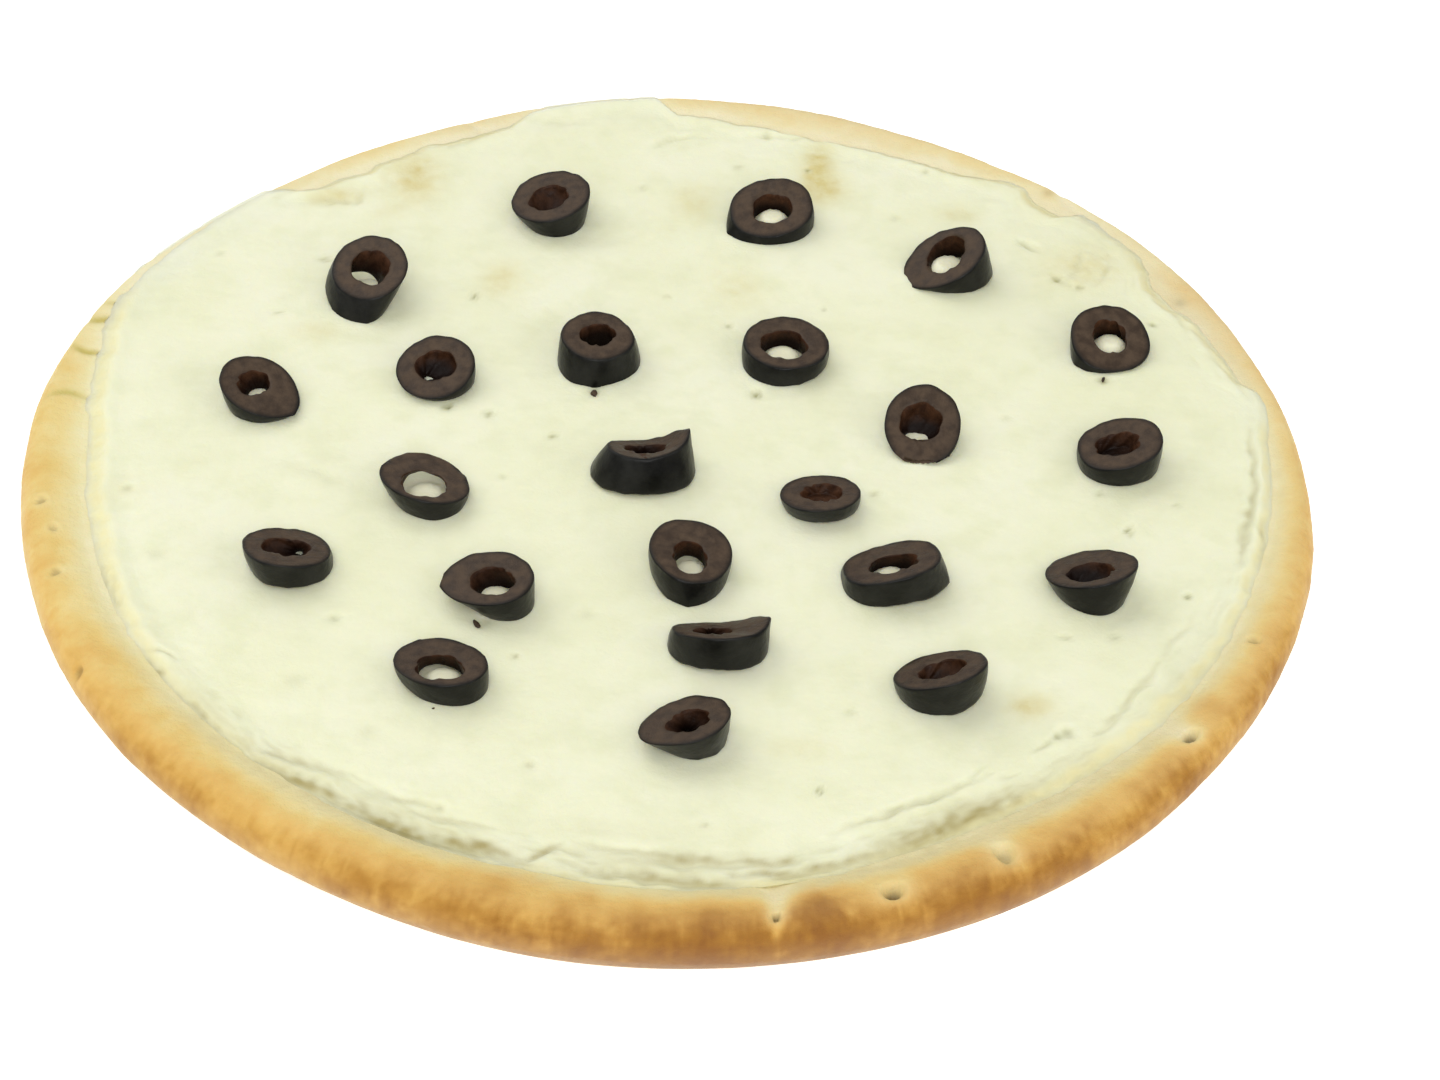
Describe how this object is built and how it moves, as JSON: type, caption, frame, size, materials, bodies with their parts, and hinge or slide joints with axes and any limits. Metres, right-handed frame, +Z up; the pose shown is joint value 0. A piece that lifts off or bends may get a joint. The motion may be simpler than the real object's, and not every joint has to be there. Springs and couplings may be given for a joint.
{
  "type": "labneh fatayer",
  "caption": "Round flat bread with a raised browned rim, a thick smooth layer of labneh inside it and scattered slices of black olive pressed into the labneh.",
  "frame": {"origin": "on the table, at the centre of the bottom of the whole bread's box", "axes": "+Z up; -Y towards the viewer of the picture; +X to the viewer's right"},
  "size_m": [0.2502, 0.2502, 0.0194],
  "materials": {
    "crust": "baked bread, golden and matte, browner low on the outside of the rim",
    "labneh": "strained yoghurt, cream white, moist and softly satin",
    "olive": "black olive, moist: brown-black flesh and near-black glossy skin"
  },
  "bodies": {
    "root": {"crust": "crust", "labneh": "labneh", "olive_01": "olive", "olive_02": "olive", "olive_03": "olive", "olive_04": "olive", "olive_05": "olive", "olive_06": "olive", "olive_07": "olive", "olive_08": "olive", "olive_09": "olive", "olive_10": "olive", "olive_11": "olive", "olive_12": "olive", "olive_13": "olive", "olive_14": "olive", "olive_15": "olive", "olive_16": "olive", "olive_17": "olive", "olive_18": "olive", "olive_19": "olive", "olive_20": "olive", "olive_21": "olive", "olive_22": "olive", "olive_23": "olive"}
  },
  "joints": []
}
